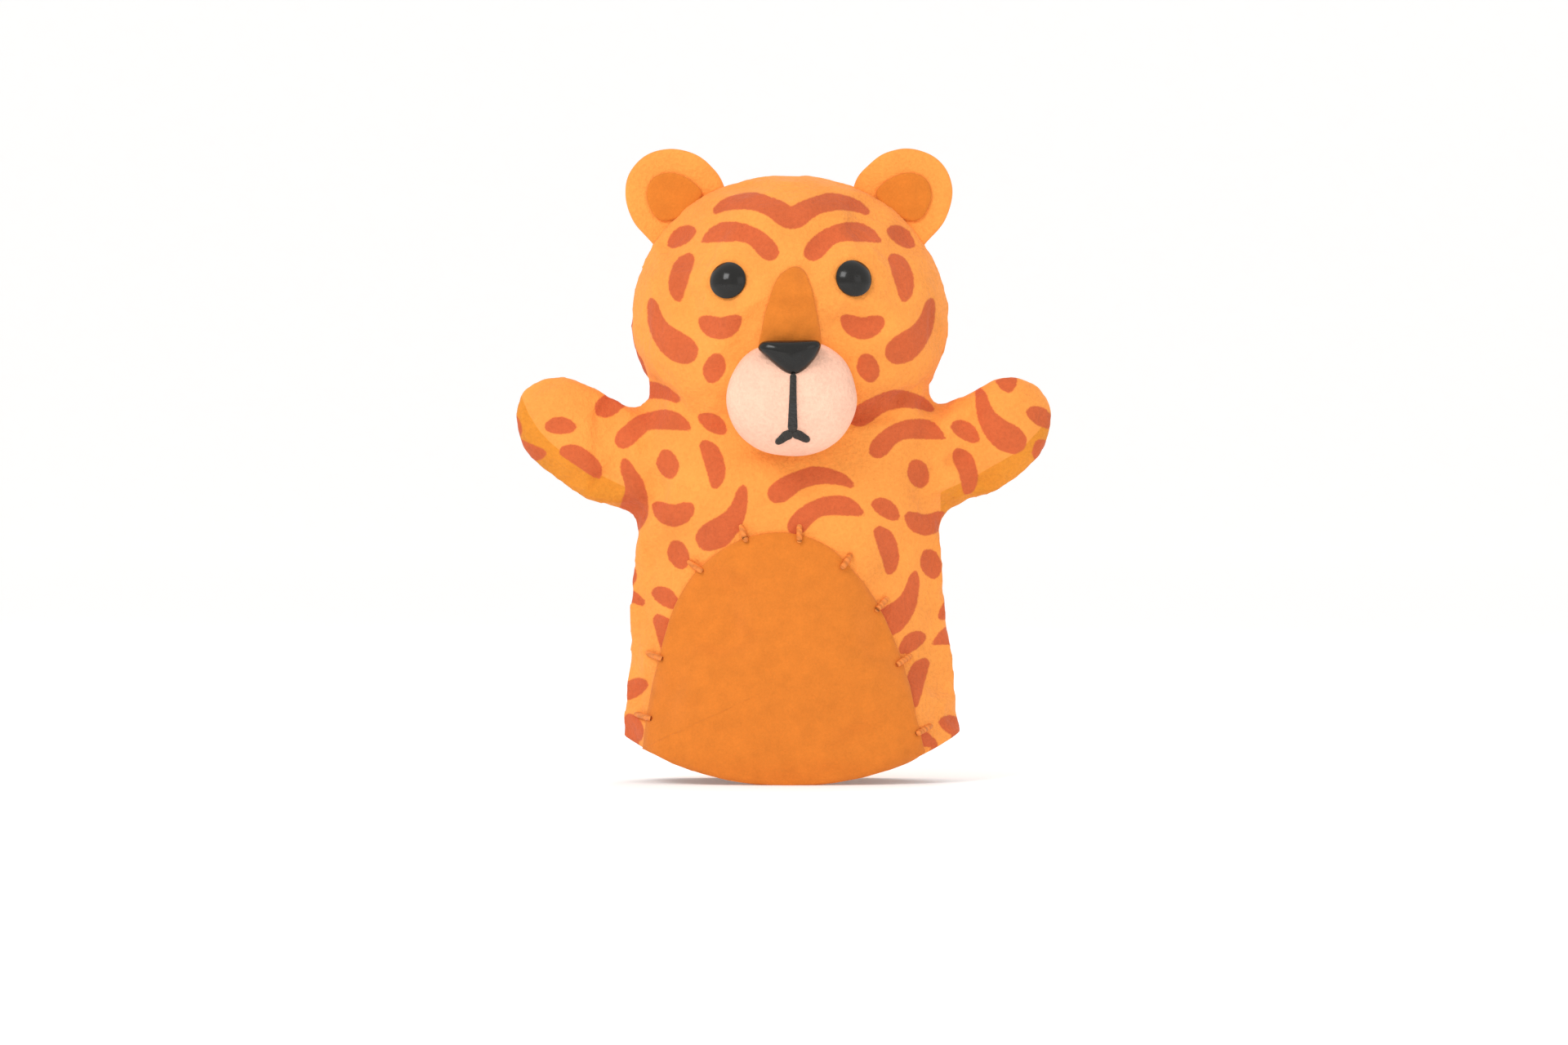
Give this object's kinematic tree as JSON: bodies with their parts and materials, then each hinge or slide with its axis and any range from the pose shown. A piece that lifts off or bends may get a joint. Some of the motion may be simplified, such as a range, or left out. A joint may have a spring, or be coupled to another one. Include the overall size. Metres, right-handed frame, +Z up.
{
  "type": "hand puppet",
  "caption": "Big-cat glove puppet: open-hemmed plush glove with two finger-fitted arms and a stuffed head with ears, eyes and a pale muzzle.",
  "frame": {"origin": "centre of the hand opening, level with the lowest point of the hem", "axes": "+Z up through the head, the face looks along -Y, +X to the right seen from in front"},
  "size_m": [0.218, 0.1085, 0.2583],
  "materials": {
    "printed_plush": "matte",
    "brown_felt": "matte",
    "cotton_thread": "matte",
    "black_thread": "satin",
    "cotton_lining": "matte",
    "polyester_fill": "matte",
    "pale_plush": "matte",
    "black_plastic": "gloss",
    "washer_plastic": "matte"
  },
  "bodies": {
    "glove": {"belly_patch": "brown_felt", "belly_stitches": "cotton_thread", "hem_facing": "cotton_lining", "lining_back": "cotton_lining", "lining_front": "cotton_lining", "torso_back": "printed_plush", "torso_front": "printed_plush"},
    "neck": {"neck_back": "printed_plush", "neck_front": "printed_plush", "neck_tape": "cotton_lining"},
    "head": {"ear_back_left": "printed_plush", "ear_back_right": "printed_plush", "ear_front_left": "printed_plush", "ear_front_right": "printed_plush", "ear_patch_left": "brown_felt", "ear_patch_right": "brown_felt", "eye_left": "black_plastic", "eye_right": "black_plastic", "eye_washer_left": "washer_plastic", "eye_washer_right": "washer_plastic", "finger_pocket": "cotton_lining", "head_back": "printed_plush", "head_front": "printed_plush", "head_stuffing_back": "polyester_fill", "head_stuffing_front": "polyester_fill", "mouth": "black_thread", "muzzle_cover": "pale_plush", "muzzle_stuffing": "polyester_fill", "nose": "black_plastic", "nose_bridge": "brown_felt", "nose_washer": "washer_plastic"},
    "shoulder_left": {"shoulder_left": "printed_plush"},
    "arm_left": {"arm_back_left": "printed_plush", "arm_front_left": "printed_plush", "finger_sleeve_left": "cotton_lining", "paw_stuffing_left": "polyester_fill"},
    "shoulder_right": {"shoulder_right": "printed_plush"},
    "arm_right": {"arm_back_right": "printed_plush", "arm_front_right": "printed_plush", "finger_sleeve_right": "cotton_lining", "paw_stuffing_right": "polyester_fill"}
  },
  "joints": [
    {"name": "head_tilt", "type": "hinge", "parent": "glove", "child": "neck", "pos_m": [0, 0, 0.14], "axis": [0, 1, 0], "range_deg": [-12, 12], "stiffness_Nm_per_rad": 0.25, "deforming": ["neck_front", "neck_back", "neck_tape"]},
    {"name": "head_nod", "type": "hinge", "parent": "neck", "child": "head", "pos_m": [0, 0, 0.14], "axis": [1, 0, 0], "range_deg": [-20, 25], "stiffness_Nm_per_rad": 0.25},
    {"name": "arm_left_lift", "type": "hinge", "parent": "glove", "child": "shoulder_left", "pos_m": [-0.052, 0, 0.1245], "axis": [0, 1, 0], "range_deg": [-30, 20], "stiffness_Nm_per_rad": 0.04, "deforming": ["shoulder_left"]},
    {"name": "arm_left_swing", "type": "hinge", "parent": "shoulder_left", "child": "arm_left", "pos_m": [-0.052, 0, 0.1245], "axis": [0, 0, 1], "range_deg": [-12, 55], "stiffness_Nm_per_rad": 0.04},
    {"name": "arm_right_lift", "type": "hinge", "parent": "glove", "child": "shoulder_right", "pos_m": [0.052, 0, 0.1245], "axis": [0, 1, 0], "range_deg": [-20, 30], "stiffness_Nm_per_rad": 0.04, "deforming": ["shoulder_right"]},
    {"name": "arm_right_swing", "type": "hinge", "parent": "shoulder_right", "child": "arm_right", "pos_m": [0.052, 0, 0.1245], "axis": [0, 0, 1], "range_deg": [-55, 12], "stiffness_Nm_per_rad": 0.04}
  ]
}
